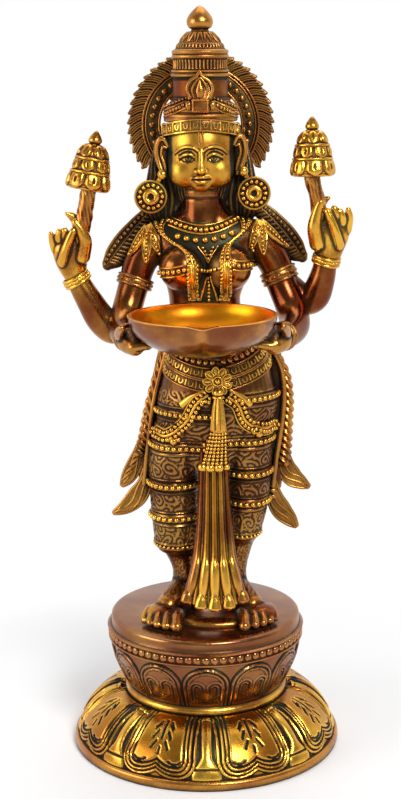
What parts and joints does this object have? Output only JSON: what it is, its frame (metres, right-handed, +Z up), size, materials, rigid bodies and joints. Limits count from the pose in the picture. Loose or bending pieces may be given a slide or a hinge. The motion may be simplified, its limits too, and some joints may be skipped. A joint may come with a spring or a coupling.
{
  "type": "standing oil lamp figure",
  "caption": "Standing brass figure on a drum and lotus base, holding out a shallow oil dish and raising lotus buds in its upper hands.",
  "frame": {"origin": "centre of the lotus base's rim, on the ground", "axes": "+Z up, the figure faces -Y, +X to the viewer's right"},
  "size_m": [0.1817, 0.196, 0.457],
  "materials": {
    "bronze": "antique red-brown patina, satin",
    "copper": "antique copper-brown patina, satin",
    "gold": "rubbed bright on the high places, dark in the recesses",
    "dark": "dark green-black patina",
    "steel": "plain"
  },
  "bodies": {
    "figure": {"lotus_base": "gold", "drum": "bronze", "tie_rod": "steel", "tie_washer": "steel", "tie_nut": "steel", "foot_studs": "steel", "foot_nuts": "steel", "lower_body": "bronze", "front_pleat": "gold", "sash_left": "copper", "sash_right": "copper", "waist_belt": "dark", "belt_rosette": "gold", "girdle_swags": "gold", "girdle_tassel": "gold", "torso": "bronze", "necklace": "gold", "garland": "gold", "shoulder_leaves_left": "gold", "shoulder_leaves_right": "gold", "shoulder_flap_left": "dark", "shoulder_flap_right": "dark", "head": "copper", "hair": "dark", "ear_disc_left": "gold", "ear_disc_right": "gold", "crown": "gold", "crown_crest": "gold", "crown_finial": "gold", "halo": "gold", "halo_rivet": "steel", "arm_left": "bronze", "arm_right": "bronze", "raised_arm_left": "bronze", "raised_arm_right": "bronze", "armlets": "gold", "bangle_left": "gold", "bangle_right": "gold", "dish_bangle_left": "gold", "dish_bangle_right": "gold", "raised_hand_left": "gold", "raised_hand_right": "gold", "stalk_left": "copper", "stalk_right": "copper", "bud_left": "gold", "bud_right": "gold", "dish_hand_left": "copper", "dish_hand_right": "copper"},
    "dish": {"lamp_dish": "copper"}
  },
  "joints": [
    {"name": "dish_lift", "type": "slide", "parent": "figure", "child": "dish", "axis": [0, -0.7071, 0.7071], "range_m": [0, 0.08]}
  ]
}
